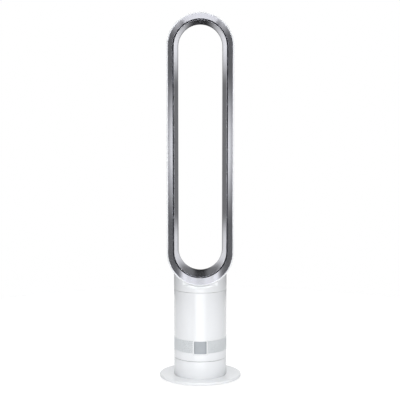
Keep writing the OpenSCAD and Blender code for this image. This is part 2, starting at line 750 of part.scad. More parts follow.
module diffuser() color([0.80, 0.81, 0.83]) {
  ring(bucket_r + fit + 1.8, bucket_r + fit, vane_h, vane_z);
  ring(duct_r - fit, duct_r - fit - 1.8, vane_h, vane_z);
  intersection() {
    ring(duct_r - fit - 0.9, bucket_r + fit + 0.9, vane_h, vane_z);
    union() for (i = [0 : vane_count - 1]) rotate(i * 360 / vane_count)
      translate([0, 0, vane_z]) curved_plate(duct_r * 0.75, 1.6, vane_h);
  }
}

duct_z = ledge_z + ledge_t + hair;
duct_cone_z = upper_top - 11.5;
saddle_z = lower_centre_z - loop_r - fit - body_wall;
duct_top = saddle_z - 0.3;
spigot_r = inner_r - fit;
spigot_t = 2.4;
spigot_h = 9.5;
clip_plate = [2, 10, 8];

module outlet_duct() color([0.80, 0.81, 0.83]) difference() {
  rotate_extrude() polygon([
    [duct_r, duct_z], [inner_r - 4, duct_z], [inner_r - 4, duct_z + 2], [duct_r + duct_wall, duct_z + 2],
    [duct_r + duct_wall, duct_cone_z], [loop_inlet_r + duct_wall, duct_top - 3],
    [loop_inlet_r + duct_wall, duct_top + 12], [loop_inlet_r, duct_top + 12],
    [loop_inlet_r, duct_top - 3], [duct_r, duct_cone_z]]);
  loop_space(fit + body_wall + hair);
}

// ---------- the loop ----------

// Outer line of the loop's section, front to rear, grown outwards by g
function outer_line(g) = concat(
  [[shell_r + g, front_y - g]],
  [[shell_r + shell_bulge * 0.6 + g, front_y + 30], [loop_r + g, bulge_y]],
  arc([apex_r, bulge_y], loop_r - apex_r + g, rear_y - bulge_y + g, 9, 90, 9));

// Inner line of the loop's section, from the rear apex to the lip, grown by g
function inner_line(g) = concat(
  bez_row([[apex_r, rear_y - g], [apex_r - 9, rear_y - g],
           [throat_r_loop - 1.0 + g, throat_y + 9], [throat_r_loop + g, throat_y]], 9),
  [[lip_r + (g > 0 ? lip_t : 0), slot_y]]);

// Sweeps a section, drawn as (radius, depth), along part of a circle round one end of the loop
module loop_arc(z, start, angle) {
  translate([0, 0, z]) rotate([-90, 0, 0]) rotate([0, 0, start]) rotate_extrude(angle = angle) children();
}

// Sweeps a section along the loop's two straight sides
module loop_sides() {
  for (side = [0, 1]) mirror([side, 0, 0])
    translate([0, 0, lower_centre_z]) linear_extrude(loop_straight) children();
}

// Sweeps a section round the loop's two ends
module loop_bends() {
  loop_arc(lower_centre_z, 0, 180) children();
  loop_arc(upper_centre_z, 180, 180) children();
}

// Sweeps a section round the whole loop
module around_loop() {
  loop_sides() children();
  loop_bends() children();
}

module loop_outer_shell() color("white") difference() {
  around_loop() polygon(concat(
    [[bezel_r, front_y], [shell_r - 1, front_y], [shell_r, front_y + 1]],
    [for (i = [1 : len(outer_line(0)) - 1]) outer_line(0)[i]],
    [for (i = [len(outer_line(-loop_wall)) - 1 : -1 : 1]) outer_line(-loop_wall)[i]],
    [[shell_r - loop_wall, front_y + rim_flange], [bezel_r, front_y + rim_flange]]));
  translate([0, 0, neck_z]) cylinder(h = neck_rise + 13, r = loop_inlet_r);
}

// The inner shell's section, the same in its bends and its sides
module inner_section() translate([-hair, 0]) polygon(concat(inner_line(0), reverse(inner_line(loop_wall))));

module loop_inner_bends() color([0.72, 0.73, 0.75]) loop_bends() inner_section();

module loop_inner_sides() color([0.72, 0.73, 0.75]) loop_sides() inner_section();

module loop_front_bezel() color([0.72, 0.73, 0.75]) {
  outer = bezel_r - bezel_fit;
  around_loop() polygon(concat(
    [[outer, front_y + 0.8], [outer - 0.8, front_y], [outer - 1.6, front_y]],
    bez_row([for (p = [[0, 0], [0.1, 5], [0.6, 8], [4.4, 12]]) [nose_r, slot_y] + p], 5),
    [[nose_r + 5.8, slot_y + 10.4], [nose_r + 2.4, slot_y + 6], [nose_r + bezel_skin, slot_y],
     [outer - 0.2, front_y + rim_flange + 1.2], [outer, front_y + rim_flange]]));
}

// One spacer that keeps the air slot open, as a section between the lip and the bezel's nose
module spacer_section() {
  slope = throat_rise / (throat_y - slot_y);
  polygon([[lip_r + lip_t + 0.02, slot_y + 1], [nose_r - 0.02, slot_y + 1],
           [nose_r + 0.02, slot_y + 5], [lip_r + lip_t + 0.12 - 4 * slope, slot_y + 5]]);
}

module slot_spacers() color([0.66, 0.67, 0.69]) {
  for (side = [0, 1]) mirror([side, 0, 0]) for (k = [0 : spacer_rows - 1])
    translate([0, 0, lower_centre_z + (loop_straight * (k + 0.5)) / spacer_rows - spacer_l / 2])
      linear_extrude(spacer_l) spacer_section();
  for (a = [45, 90, 135]) {
    loop_arc(lower_centre_z, a - 0.8, 1.6) spacer_section();
    loop_arc(upper_centre_z, 180 + a - 0.8, 1.6) spacer_section();
  }
}

module dock_magnets() color([0.55, 0.56, 0.58]) for (y = [bulge_y - 34, bulge_y - 6])
  translate([0, y, 0]) rod(magnet_r, magnet_t, upper_centre_z + shell_r - loop_wall - fit - magnet_t);

// ---------- the neck ----------

// The space that the loop takes, grown by g, with a way out to the front and the rear
module loop_space(g) {
  translate([0, 0, lower_centre_z]) rotate([-90, 0, 0]) rotate_extrude() polygon(concat(
    [[0, -body_d], [shell_r + g, -body_d]], outer_line(g), [[apex_r, body_d], [0, body_d]]));
}

// The neck's outer form, shrunk by g: a round plan under a shoulder that draws in to the loop
module neck_form(g) {
  low = neck_z + 4;
  half = loop_depth / 2 + 0.6 - g;
  intersection() {
    translate([0, 0, neck_z - 1]) cylinder(h = loop_r, r = body_r - g);
    rotate([90, 0, 90]) translate([0, 0, -body_d]) linear_extrude(2 * body_d) polygon(concat(
      [[body_r - g, neck_z - 1]],
      arc([half, low], body_r - g - half, neck_rise - g, 0, 90, 10),
      [[half, lower_centre_z - 20], [-half, lower_centre_z - 20]],
      arc([-half, low], body_r - g - half, neck_rise - g, 90, 180, 10),
      [[g - body_r, neck_z - 1]]));
  }
}

module neck_collar() color("white") difference() {
  union() {
    difference() {
      neck_form(0);
      loop_space(fit);
      difference() {
        neck_form(body_wall);
        loop_space(fit + body_wall);
      }
      translate([0, 0, neck_z - 2]) cylinder(h = 2, r = body_d);
    }
    ring(spigot_r, spigot_r - spigot_t, neck_z + 3 - upper_top + spigot_h, upper_top - spigot_h);
    ring(inner_r + eps, spigot_r - spigot_t, 2.6, neck_z);
  }
  translate([0, 0, neck_z - 1]) cylinder(h = neck_rise + 30, r = loop_inlet_r);
}

module neck_clips() color([0.35, 0.36, 0.38]) {
  reach = sqrt(pow(spigot_r - spigot_t - hair, 2) - pow(clip_plate[1] / 2, 2));
  spaced(3, reach - clip_plate[0], 30) translate([0, -clip_plate[1] / 2, upper_top - 9]) cube(clip_plate);
}

// ---------- what is drawn ----------

rubber_feet();
base_cover();
cover_screws();
ballast_plate();
base_plate();
base_column();
column_screws();
cord_gland();
power_board();
power_parts();
supply_wires();
swivel_chassis();
oscillation_motor();
motor_screws();
pivot_post();
glide_ring();
thrust_washer();
pivot_clip();
base_loom();
pinion_shaft();
drive_pinion();
turntable();
driven_gear();
casing_screws();
lower_casing();
lower_foam();
control_board();
board_parts();
board_screws();
tower_loom();
display_bracket();
display_board();
display_parts();
window_frame();
power_button();
inlet_band();
inlet_mesh();
inlet_frame();
upper_casing();
shroud_seal();
impeller_shroud();
diffuser();
motor_bucket();
bucket_nose();
motor_stator();
motor_bearings();
isolators();
impeller();
motor_rotor();
motor_shaft();
impeller_nut();
outlet_duct();
neck_clips();
neck_collar();
loop_outer_shell();
loop_front_bezel();
loop_inner_bends();
loop_inner_sides();
slot_spacers();
dock_magnets();
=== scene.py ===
import math
import bpy
import bmesh
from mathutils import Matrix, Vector


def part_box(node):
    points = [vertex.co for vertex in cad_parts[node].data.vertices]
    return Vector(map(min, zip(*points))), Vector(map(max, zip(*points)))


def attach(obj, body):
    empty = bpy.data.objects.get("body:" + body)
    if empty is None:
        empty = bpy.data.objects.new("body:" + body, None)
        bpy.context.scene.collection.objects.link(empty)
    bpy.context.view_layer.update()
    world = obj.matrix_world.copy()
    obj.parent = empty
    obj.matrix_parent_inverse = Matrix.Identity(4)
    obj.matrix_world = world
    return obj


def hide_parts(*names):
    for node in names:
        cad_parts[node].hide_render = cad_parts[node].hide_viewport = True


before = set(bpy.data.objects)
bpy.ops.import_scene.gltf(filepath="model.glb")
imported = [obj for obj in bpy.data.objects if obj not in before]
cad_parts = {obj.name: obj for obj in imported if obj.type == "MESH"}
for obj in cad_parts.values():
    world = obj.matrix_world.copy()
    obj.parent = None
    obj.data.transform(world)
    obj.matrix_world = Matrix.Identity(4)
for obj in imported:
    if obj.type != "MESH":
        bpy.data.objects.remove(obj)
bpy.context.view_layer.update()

scene = bpy.context.scene


# camera: its place, how many degrees it looks down, and its lens

view = {
    "distance": 3.206,
    "height": 0.847,
    "sideStep": -0.0008,
    "lookDown": 6.26,
    "lens": 105.1,
    "sensor": 36,
    "nearest": 0.1,
    "farthest": 40,
}


def makeCamera(v):
    data = bpy.data.cameras.new("camera")
    data.lens = v["lens"]
    data.sensor_width = v["sensor"]
    data.clip_start = v["nearest"]
    data.clip_end = v["farthest"]
    camera = bpy.data.objects.new("camera", data)
    camera.location = (v["sideStep"], -v["distance"], v["height"])
    camera.rotation_euler = (math.radians(90 - v["lookDown"]), 0, 0)
    scene.collection.objects.link(camera)
    scene.camera = camera


makeCamera(view)
scene.view_settings.view_transform = "Standard"
print("camera placed")


# shader maths: a wire is a socket that Python's operators work on

class Wire:
    def __init__(self, maker, socket):
        self.maker = maker
        self.socket = socket

    def calc(self, operation, *values):
        return self.maker.node("Math", {"operation": operation}, dict(enumerate(values)))

    def __add__(self, other):
        return self.calc("ADD", self, other)

    def __radd__(self, other):
        return self.calc("ADD", other, self)

    def __sub__(self, other):
        return self.calc("SUBTRACT", self, other)

    def __rsub__(self, other):
        return self.calc("SUBTRACT", other, self)

    def __mul__(self, other):
        return self.calc("MULTIPLY", self, other)

    def __rmul__(self, other):
        return self.calc("MULTIPLY", other, self)

    def __truediv__(self, other):
        return self.calc("DIVIDE", self, other)

    def __rtruediv__(self, other):
        return self.calc("DIVIDE", other, self)

    def __pow__(self, other):
        return self.calc("POWER", self, other)

    def __rpow__(self, other):
        return self.calc("POWER", other, self)

    def size(self):  # its value without the sign
        return self.calc("ABSOLUTE", self)

    def step(self, low, high):  # 0 below low, 1 above high, smooth between
        return self.maker.node("MapRange", {"interpolation_type": "SMOOTHSTEP"},
                               {"Value": self, "From Min": low, "From Max": high})


class Maker:
    def __init__(self, tree):
        self.tree = tree
        tree.nodes.clear()

    def node(self, kind, settings=None, sockets=None, out=0):
        made = self.tree.nodes.new("ShaderNode" + kind)
        for key, value in (settings or {}).items():
            setattr(made, key, value)
        for key, value in (sockets or {}).items():
            if isinstance(value, Wire):
                self.tree.links.new(value.socket, made.inputs[key])
            else:
                made.inputs[key].default_value = value
        return Wire(self, made.outputs[out]) if len(made.outputs) else None

    def place(self):  # the object's own coordinates, in metres
        return self.node("TexCoord", out="Object")

    def axes(self, vector):
        parts = self.node("SeparateXYZ", None, {"Vector": vector})
        return [Wire(self, socket) for socket in parts.socket.node.outputs]

    def noise(self, vector, scale, detail):
        return self.node("TexNoise", None, {"Vector": vector, "Scale": scale, "Detail": detail})

    def mix(self, factor, a, b):  # blends two colours, which a Mix node has at 6, 7 and its output 2
        a, b = [colour if isinstance(colour, Wire) else (*colour, 1) for colour in (a, b)]
        return self.node("Mix", {"data_type": "RGBA"}, {"Factor": factor, 6: a, 7: b}, 2)

    def bump(self, height, strength, distance):
        return self.node("Bump", None, {"Height": height, "Strength": strength, "Distance": distance})

    def surface(self, sockets):
        shader = self.node("BsdfPrincipled", None, sockets)
        self.node("OutputMaterial", None, {"Surface": shader})


def newMaterial(name):
    material = bpy.data.materials.new(name)
    material.use_nodes = True
    return material, Maker(material.node_tree)


def tone(colour, factor):  # a colour made lighter or darker
    return tuple(min(1, c * factor) for c in colour)


def paint(obj, material):
    obj.data.materials.clear()
    obj.data.materials.append(material)


# moulded plastic: faint colour drift, a soft orange peel and uneven gloss; where asked, painted shade
# darkens a seam

whiteLook = {
    "colour": (0.83, 0.845, 0.865),
    "drift": 0.985,
    "driftScale": 9,
    "driftRange": (0.35, 0.7),
    "rough": 0.13,
    "roughDrift": 0.05,
    "roughScale": 54,
    "peelScale": 520,
    "peelStrength": 0.5,
    "peelDepth": 0.000006,
}

# painted shade for the neck's seam: nearer the axis than its radius, up to a little above the casing,
# the collar is painted dark as if in shadow
neckSeamShade = {
    "radius": 0.0722,
    "edge": 0.0004,
    "above": 0.0025,
    "fade": 0.0006,
    "colour": (0.16, 0.165, 0.17),
}


def mouldedPlastic(name, look, seamShade=None):
    material, m = newMaterial(name)
    place = m.place()
    drift = m.noise(place, look["driftScale"], detail=3)
    dull = tone(look["colour"], look["drift"])
    colour = m.mix(drift.step(*look["driftRange"]), look["colour"], dull)
    rough = look["rough"] + look["roughDrift"] * m.noise(place, look["roughScale"], detail=4)
    peel = m.noise(place, look["peelScale"], detail=2)
    if seamShade:
        # painted shade: the seam's dark colour stands in for the shadow in the recess
        colour = m.mix(outsideSeamShade(m, place, seamShade), seamShade["colour"], colour)
    m.surface({
        "Base Color": colour,
        "Roughness": rough,
        "Normal": m.bump(peel, look["peelStrength"], look["peelDepth"]),
    })
    return material


def outsideSeamShade(m, place, seamShade):  # 0 in the seam, where the collar is painted with shade, and 1 elsewhere
    x, y, z = m.axes(place)
    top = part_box("upper_casing")[1].z + seamShade["above"]
    outer = ((x * x + y * y) ** 0.5).step(seamShade["radius"] - seamShade["edge"], seamShade["radius"])
    return 1 - (1 - outer) * (1 - z.step(top, top + seamShade["fade"]))


# silver lacquer: bright metal with fine flake and a slight cool drift

silverLook = {
    "colour": (0.66, 0.665, 0.72),
    "cool": (0.63, 0.64, 0.705),
    "driftScale": 14,
    "driftRange": (0.4, 0.65),
    "rough": 0.14,
    "roughDrift": 0.04,
    "flakeScale": 1500,
    "flakeRange": (0.45, 0.75),
    "sparkle": 1.08,
    "flakeStrength": 0.35,
    "flakeDepth": 0.000001,
}


def silverLacquer(name, look):
    material, m = newMaterial(name)
    place = m.place()
    drift = m.noise(place, look["driftScale"], detail=3)
    flake = m.noise(place, look["flakeScale"], detail=1)
    colour = m.mix(drift.step(*look["driftRange"]), look["colour"], look["cool"])
    bright = tone(look["colour"], look["sparkle"])
    m.surface({
        "Base Color": m.mix(flake.step(*look["flakeRange"]), colour, bright),
        "Metallic": 1.0,
        "Roughness": look["rough"] + look["roughDrift"] * drift,
        "Normal": m.bump(flake, look["flakeStrength"], look["flakeDepth"]),
    })
    return material


# inner finishes, one row for each: colour, metal share, roughness, grain scale, grain depth

innerLooks = {
    "structure": ((0.55, 0.56, 0.58), 0, 0.45, 420, 0.00002),
    "darkNylon": ((0.10, 0.105, 0.115), 0, 0.5, 420, 0.00002),
    "screwSteel": ((0.62, 0.62, 0.64), 1, 0.3, 1500, 0.00001),
    "turnedSteel": ((0.58, 0.58, 0.60), 1, 0.26, 1800, 0.00001),
    "motorCan": ((0.66, 0.67, 0.69), 1, 0.35, 900, 0.00001),
    "ballast": ((0.20, 0.20, 0.21), 1, 0.55, 300, 0.00004),
    "acetal": ((0.80, 0.79, 0.73), 0, 0.4, 600, 0.00001),
    "board": ((0.03, 0.17, 0.09), 0, 0.35, 800, 0.00002),
    "blackPart": ((0.025, 0.025, 0.028), 0, 0.42, 900, 0.00001),
    "wireSleeve": ((0.03, 0.03, 0.033), 0, 0.5, 1200, 0.00001),
    "foam": ((0.035, 0.035, 0.04), 0, 0.9, 260, 0.0003),
    "impellerRed": ((0.42, 0.03, 0.10), 0, 0.3, 700, 0.00001),
    "screenGrey": ((0.20, 0.205, 0.215), 0, 0.6, 1600, 0.00003),
    "rubber": ((0.03, 0.03, 0.032), 0, 0.75, 700, 0.00004),
    "underside": ((0.07, 0.073, 0.08), 0, 0.5, 650, 0.00003),
    "glandGrey": ((0.70, 0.71, 0.73), 0, 0.35, 700, 0.00001),
}

# what all inner finishes share: soft clouds in colour and roughness, and how strong the grain is
innerClouds = {
    "scale": 25,
    "range": (0.3, 0.7),
    "darkest": 0.93,
    "lightest": 1.07,
    "roughDrift": 0.12,
    "grainStrength": 0.6,
}

nodeLooks = {
    "darkNylon": ["swivel_chassis", "turntable", "glide_ring"],
    "structure": ["display_bracket", "inlet_frame", "motor_bucket", "bucket_nose",
                  "impeller_shroud", "diffuser", "outlet_duct", "slot_spacers"],
    "screwSteel": ["cover_screws", "column_screws", "motor_screws", "casing_screws",
                   "board_screws", "impeller_nut"],
    "turnedSteel": ["pivot_post", "pivot_clip", "pinion_shaft", "motor_shaft", "motor_bearings",
                    "motor_rotor", "motor_stator", "dock_magnets"],
    "motorCan": ["oscillation_motor"],
    "ballast": ["ballast_plate"],
    "acetal": ["driven_gear", "drive_pinion", "thrust_washer"],
    "board": ["power_board", "control_board", "display_board"],
    "blackPart": ["power_parts", "board_parts", "display_parts", "neck_clips"],
    "wireSleeve": ["supply_wires", "base_loom", "tower_loom"],
    "foam": ["lower_foam", "shroud_seal", "isolators"],
    "impellerRed": ["impeller"],
    "screenGrey": ["inlet_mesh"],
    "rubber": ["rubber_feet"],
    "underside": ["base_cover"],
    "glandGrey": ["cord_gland"],
}


def innerFinish(name, look, clouds):
    colour, metal, rough, grainScale, grainDepth = look
    material, m = newMaterial(name)
    place = m.place()
    grain = m.noise(place, grainScale, detail=3)
    cloud = m.noise(place, clouds["scale"], detail=3)
    dark, light = tone(colour, clouds["darkest"]), tone(colour, clouds["lightest"])
    m.surface({
        "Base Color": m.mix(cloud.step(*clouds["range"]), dark, light),
        "Metallic": metal,
        "Roughness": rough + clouds["roughDrift"] * (cloud - 0.5),
        "Normal": m.bump(grain, clouds["grainStrength"], grainDepth),
    })
    return material


whitePlastic = mouldedPlastic("whitePlastic", whiteLook)
silverMetal = silverLacquer("silverMetal", silverLook)
# a dark finish for the loop's hidden faces: painted shade in the loop's slot
slotPaintedShade = innerFinish("slotPaintedShade", innerLooks["underside"], innerClouds)
for lookName, nodeNames in nodeLooks.items():
    finish = innerFinish(lookName, innerLooks[lookName], innerClouds)
    for nodeName in nodeNames:
        paint(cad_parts[nodeName], finish)
# the neck collar's plastic has painted shade in its seam
paint(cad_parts["neck_collar"], mouldedPlastic("neckPlasticSeamShade", whiteLook, neckSeamShade))
print("materials made")


# mesh helpers

sharpAngle = 35  # edges over this many degrees stay sharp where faces are shaded smooth


def linked(name, mesh):
    obj = bpy.data.objects.new(name, mesh)
    scene.collection.objects.link(obj)
    return obj


def fromBmesh(name, made):
    mesh = bpy.data.meshes.new(name)
    made.to_mesh(mesh)
    made.free()
    return linked(name, mesh)


def smooth(obj):
    for face in obj.data.polygons:
        face.use_smooth = True
    obj.data.set_sharp_from_angle(angle=math.radians(sharpAngle))


def applyModifiers(obj):
    graph = bpy.context.evaluated_depsgraph_get()
    mesh = bpy.data.meshes.new_from_object(obj.evaluated_get(graph))
    obj.modifiers.clear()
    obj.data = mesh
    smooth(obj)


def standFor(obj, rideOn, nodes, material):  # paints a piece, and puts it in the place of its CAD nodes
    paint(obj, material)
    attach(obj, rideOn)
    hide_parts(*nodes)


def meshPiece(name, verts, faces, rideOn, nodes, material):
    mesh = bpy.data.meshes.new(name)
    mesh.from_pydata(verts, [], faces)
    made = bmesh.new()
    made.from_mesh(mesh)
    bmesh.ops.recalc_face_normals(made, faces=made.faces)
    made.to_mesh(mesh)
    made.free()
    obj = linked(name, mesh)
    smooth(obj)
    standFor(obj, rideOn, nodes, material)
    return obj


def ringFaces(rings, count, closed=True):  # quads from ring to ring; closed joins the last to the first
    faces = []
    for i in range(rings if closed else rings - 1):
        j = (i + 1) % rings
        for k in range(count):
            n = (k + 1) % count
            faces.append((i * count + k, i * count + n, j * count + n, j * count + k))
    return faces


def fillet(corners, steps):  # an outline of (x, y, radius) corners, with its corners rounded
    outline = []
    for i, (x, y, radius) in enumerate(corners):
        here = Vector((x, y))
        if radius <= 0:
            outline.append(here)
            continue
        before = Vector(corners[i - 1][:2]) - here
        after = Vector(corners[(i + 1) % len(corners)][:2]) - here
        reach = radius / math.tan(before.angle(after) / 2)
        start = here + before.normalized() * reach
        end = here + after.normalized() * reach
        for k in range(steps + 1):
            t = k / steps
            outline.append(start * (1 - t) ** 2 + here * (2 * t * (1 - t)) + end * t ** 2)
    return outline


def curve(points, count):  # a Bezier curve from its first point to its last
    made = []
    for i in range(count + 1):
        row = [Vector(p) for p in points]
        t = i / count
        while len(row) > 1:
            row = [a.lerp(b, t) for a, b in zip(row, row[1:])]
        made.append(row[0])
    return made


def arc(centre, size, start, end, count):
    made = []
    for i in range(count + 1):
        a = math.radians(start + (end - start) * i / count)
        made.append(Vector((centre[0] + size[0] * math.cos(a), centre[1] + size[1] * math.sin(a))))
    return made


def near(point, offsets):
    return [point + Vector(offset) for offset in offsets]


# loop: three sections, drawn as (radius from the middle line, depth) and swept round the stadium

shellLow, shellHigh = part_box("loop_outer_shell")

loop = {
    "outerR": shellHigh.x,
    "bezelR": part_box("loop_front_bezel")[1].x,
    "apexR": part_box("loop_inner_bends")[1].x,
    "front": shellLow.y,
    "rear": shellHigh.y,
    "slot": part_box("loop_inner_bends")[0].y,
    "lowerZ": shellLow.z + shellHigh.x,
    "upperZ": shellHigh.z - shellHigh.x,
    "arcSteps": 112,
    "sideSteps": 24,
}

outerShell = {
    "wall": 0.0022,
    "bulge": 0.063,  # from the front to where the shell is widest
    "bulgeLead": 0.025,
    "rimIn": 0.0004,  # how much narrower the front rim is
    "rimEdge": 0.0008,
    "rimDepth": 0.0012,
    "sideStart": (0, 0.0011),
    "sideLead": (0.0003, 0.03),
    "sideSteps": 10,
    "lipGap": 0.00015,  # between the rim's inner lip and the silver front
    "lipEdge": 0.0004,
    "lipDepth": 0.0025,
    "edgeSteps": 6,
    "backSteps": 26,
}

frontBezel = {
    "hollow": 0.0001,  # how deep the face is hollowed
    "hollowAt": (0.33, 0.67),  # and at which shares of its width
    "faceSteps": 22,
    "noseLap": 0.0007,  # how far the nose reaches over the air slot
    "rim": ((0, 0.0008), (0, 0), (-0.0005, 0.0002)),  # from the outer corner
    "rimSteps": 6,
    "rimBack": ((-0.0003, 0.0037), (0, 0.0025)),
    "curl": ((0, 0.0004), (0.0001, 0.005), (0.0006, 0.008), (0.0044, 0.012)),  # from the nose
    "curlSteps": 8,
    "curlShown": 2,
    "noseBack": ((0.0058, 0.0104), (0.0024, 0.006), (0.0018, 0)),
}

innerShell = {
    "throatR": 0.061,
    "throatDepth": 0.0175,  # from the rear to the narrowest place
    "lipR": 0.0716,
    "lipWall": 0.0016,
    "lipTip": 0.0002,
    "slotGap": 0.0015,
    "skin": ((-0.009, 0), (-0.001, 0.009)),  # the curve's leads, from the apex and from the throat
    "skinSteps": 30,
    "run": ((0.0012, -0.012), (-0.0035, 0.019)),  # from the throat and from the lip
    "runEnd": (0, 0.0003),
    "runSteps": 24,
    "tipAngles": (-150, -30),
    "tipSteps": 4,
    "tipShown": 3,
    "lipBack": 0.006,
    "backThroat": ((0.0024, 0), (0.0012, 0.008)),  # the hidden side of the skin
    "backApex": ((-0.008, -0.0022), (0, -0.0022)),
    "backSteps": 14,
}


def stations(v):  # (direction angle, centre height) of each ring of the sweep
    rise = v["upperZ"] - v["lowerZ"]
    turns = [i / v["arcSteps"] for i in range(v["arcSteps"])]
    sides = [i / v["sideSteps"] for i in range(v["sideSteps"])]
    made = [(math.pi * t, v["upperZ"]) for t in turns]
    made += [(math.pi, v["upperZ"] - rise * t) for t in sides]
    made += [(math.pi * (1 + t), v["lowerZ"]) for t in turns]
    made += [(2 * math.pi, v["lowerZ"] + rise * t) for t in sides]
    return made


# each section is its outline, the part that shows first, and how many of its points show

def outerSection(v, shell):
    front, bulgeY = v["front"], v["front"] + shell["bulge"]
    rim, lip = v["outerR"] - shell["rimIn"], v["bezelR"] + shell["lipGap"]
    lipY = front + shell["lipDepth"]

    def back(inset):
        size = (v["outerR"] - v["apexR"] - inset, v["rear"] - bulgeY - inset)
        return arc((v["apexR"], bulgeY), size, 0, 90, shell["backSteps"])

    edge = fillet([(rim - shell["wall"], lipY, 0), (lip, lipY, 0), (lip, front, shell["lipEdge"]),
                   (rim, front, shell["rimEdge"]), (rim, front + shell["rimDepth"], 0)],
                  shell["edgeSteps"])
    side = curve([*near(Vector((rim, front)), (shell["sideStart"], shell["sideLead"])),
                  (v["outerR"], bulgeY - shell["bulgeLead"]), (v["outerR"], bulgeY)],
                 shell["sideSteps"])
    shown = edge[:-1] + side[:-1] + back(0)
    return shown + back(shell["wall"])[::-1], len(shown)


def bezelSection(v, bezel, inner):
    corner = Vector((v["bezelR"], v["front"]))
    nose = Vector((inner["lipR"] + inner["lipWall"] + inner["slotGap"] - bezel["noseLap"], v["slot"]))
    hollow = Vector((bezel["hollow"], 0))
    rim = curve(near(corner, bezel["rim"]), bezel["rimSteps"])
    leads = [rim[-1].lerp(nose, share) - hollow for share in bezel["hollowAt"]]
    face = curve([rim[-1], *leads, nose], bezel["faceSteps"])
    curl = curve(near(nose, bezel["curl"]), bezel["curlSteps"])
    shown = rim[:-1] + face + curl[:bezel["curlShown"]]
    hidden = curl[bezel["curlShown"]:] + near(nose, bezel["noseBack"]) + near(corner, bezel["rimBack"])
    return shown + hidden, len(shown)


def innerSection(v, inner):
    apex = Vector((v["apexR"], v["rear"]))
    throat = Vector((inner["throatR"], v["rear"] - inner["throatDepth"]))
    lip = Vector((inner["lipR"], v["slot"]))
    tip = inner["lipTip"]
    fromApex, toThroat = inner["skin"]
    fromThroat, toLip = inner["run"]
    skin = curve([apex, *near(apex, [fromApex]), *near(throat, [toThroat]), throat], inner["skinSteps"])
    run = curve([throat, *near(throat, [fromThroat]), *near(lip, (toLip, inner["runEnd"]))],
                inner["runSteps"])
    edge = arc((lip.x + tip, lip.y + tip), (tip, tip), *inner["tipAngles"], inner["tipSteps"])
    back = curve(near(throat, inner["backThroat"]) + near(apex, inner["backApex"]), inner["backSteps"])
    shown = skin + run[1:] + edge[:inner["tipShown"]]
    hidden = edge[inner["tipShown"]:] + near(lip, [(inner["lipWall"], inner["lipBack"])]) + back
    return shown + hidden, len(shown)


def sweepLoop(name, section, nodes, material):  # faces past the shown part of the outline are painted dark, as painted shade inside the loop
    outline, shown = section
    rings = stations(loop)
    count = len(outline)
    verts = []
    for a, z in rings:
        verts += [(p.x * math.cos(a), p.y, z + p.x * math.sin(a)) for p in outline]
    piece = meshPiece(name, verts, ringFaces(len(rings), count), "tower", nodes, material)
    # the hidden faces take the dark finish, which is painted shade where the slot looks in
    piece.data.materials.append(slotPaintedShade)
    for i, face in enumerate(piece.data.polygons):
        face.material_index = int(i % count >= shown)


sweepLoop("loopOuterShell", outerSection(loop, outerShell),
          ["loop_outer_shell"], whitePlastic)
sweepLoop("loopFrontBezel", bezelSection(loop, frontBezel, innerShell),
          ["loop_front_bezel"], silverMetal)
sweepLoop("loopInnerShell", innerSection(loop, innerShell),
          ["loop_inner_bends", "loop_inner_sides"], silverMetal)
print("loop swept")


# body: turned walls with softened edges, and the opening for the display window

plate = {
    "core": 0.002,  # the hole in the middle, under the column
    "skin": 0.0024,
    "skirt": 0.003,
    "rimEdge": 0.0022,
    "rimFoot": 0.001,
    "turns": 256,
    "edgeSteps": 10,
}

body = {
    "wall": 0.0026,
    "edge": 0.0005,
    "turns": 192,
    "edgeSteps": 6,
    "frameGap": 0.00012,
    "cutY": -0.12,  # the middle of the block that cuts the opening
    "cutDepth": 0.16,
}


def tubeSize(node):  # a tube's outer radius, to a hundredth of a millimetre, and its two heights
    low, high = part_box(node)
    return round(max(high.x, high.y), 5), low.z, high.z


def lathe(name, corners, rideOn, node, material, v):  # corners are (radius, height, rounding)
    outline = fillet(corners, v["edgeSteps"])
    verts = []
    for i in range(v["turns"]):
        a = 2 * math.pi * i / v["turns"]
        verts += [(p.x * math.cos(a), p.x * math.sin(a), p.y) for p in outline]
    return meshPiece(name, verts, ringFaces(v["turns"], len(outline)), rideOn, [node], material)


def platePiece(v):
    low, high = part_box("base_plate")
    radius, inner = high.x, high.x - v["skirt"]
    top = tubeSize("base_column")[1]
    ceiling = top - v["skin"]
    corners = [(v["core"], top, 0), (radius, top, v["rimEdge"]), (radius, low.z, v["rimFoot"]),
               (inner, low.z, 0), (inner, ceiling, 0), (v["core"], ceiling, 0)]
    lathe("basePlate", corners, "base", "base_plate", whitePlastic, v)


def tubePiece(name, node, rideOn, v):
    outer, low, high = tubeSize(node)
    inner = outer - v["wall"]
    corners = [(inner, low, 0), (outer, low, v["edge"]), (outer, high, v["edge"]), (inner, high, 0)]
    return lathe(name, corners, rideOn, node, whitePlastic, v)


def notch(pieces, v):  # cuts the opening that the display window's frame sits in
    low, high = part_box("window_frame")
    wide = high.x - low.x + 2 * v["frameGap"]
    tall = high.z - low.z + 2 * v["frameGap"]
    made = bmesh.new()
    bmesh.ops.create_cube(made, size=1)
    for corner in made.verts:
        x, y, z = corner.co
        corner.co = (x * wide, v["cutY"] + y * v["cutDepth"], (low.z + high.z) / 2 + z * tall)
    cutter = fromBmesh("cutter", made)
    for piece in pieces:
        cut = piece.modifiers.new("notch", "BOOLEAN")
        cut.object = cutter
        cut.solver = "EXACT"
        applyModifiers(piece)
    bpy.data.objects.remove(cutter)


platePiece(plate)
tubePiece("baseColumn", "base_column", "base", body)
casings = [tubePiece("lowerCasing", "lower_casing", "tower", body),
           tubePiece("upperCasing", "upper_casing", "tower", body)]
notch(casings, body)
print("body turned")


# inlet band: a thin skin with staggered round holes, one in the middle of each cell

band = {
    "around": 156,
    "rows": 13,
    "windowCells": 14,  # left out at the front, where the display window is
    "holeR": 0.00074,
    "skin": 0.0009,
    "weld": 0.000001,
}

bandLook = {**whiteLook, "colour": (0.72, 0.75, 0.77), "rough": 0.38, "peelScale": 900}

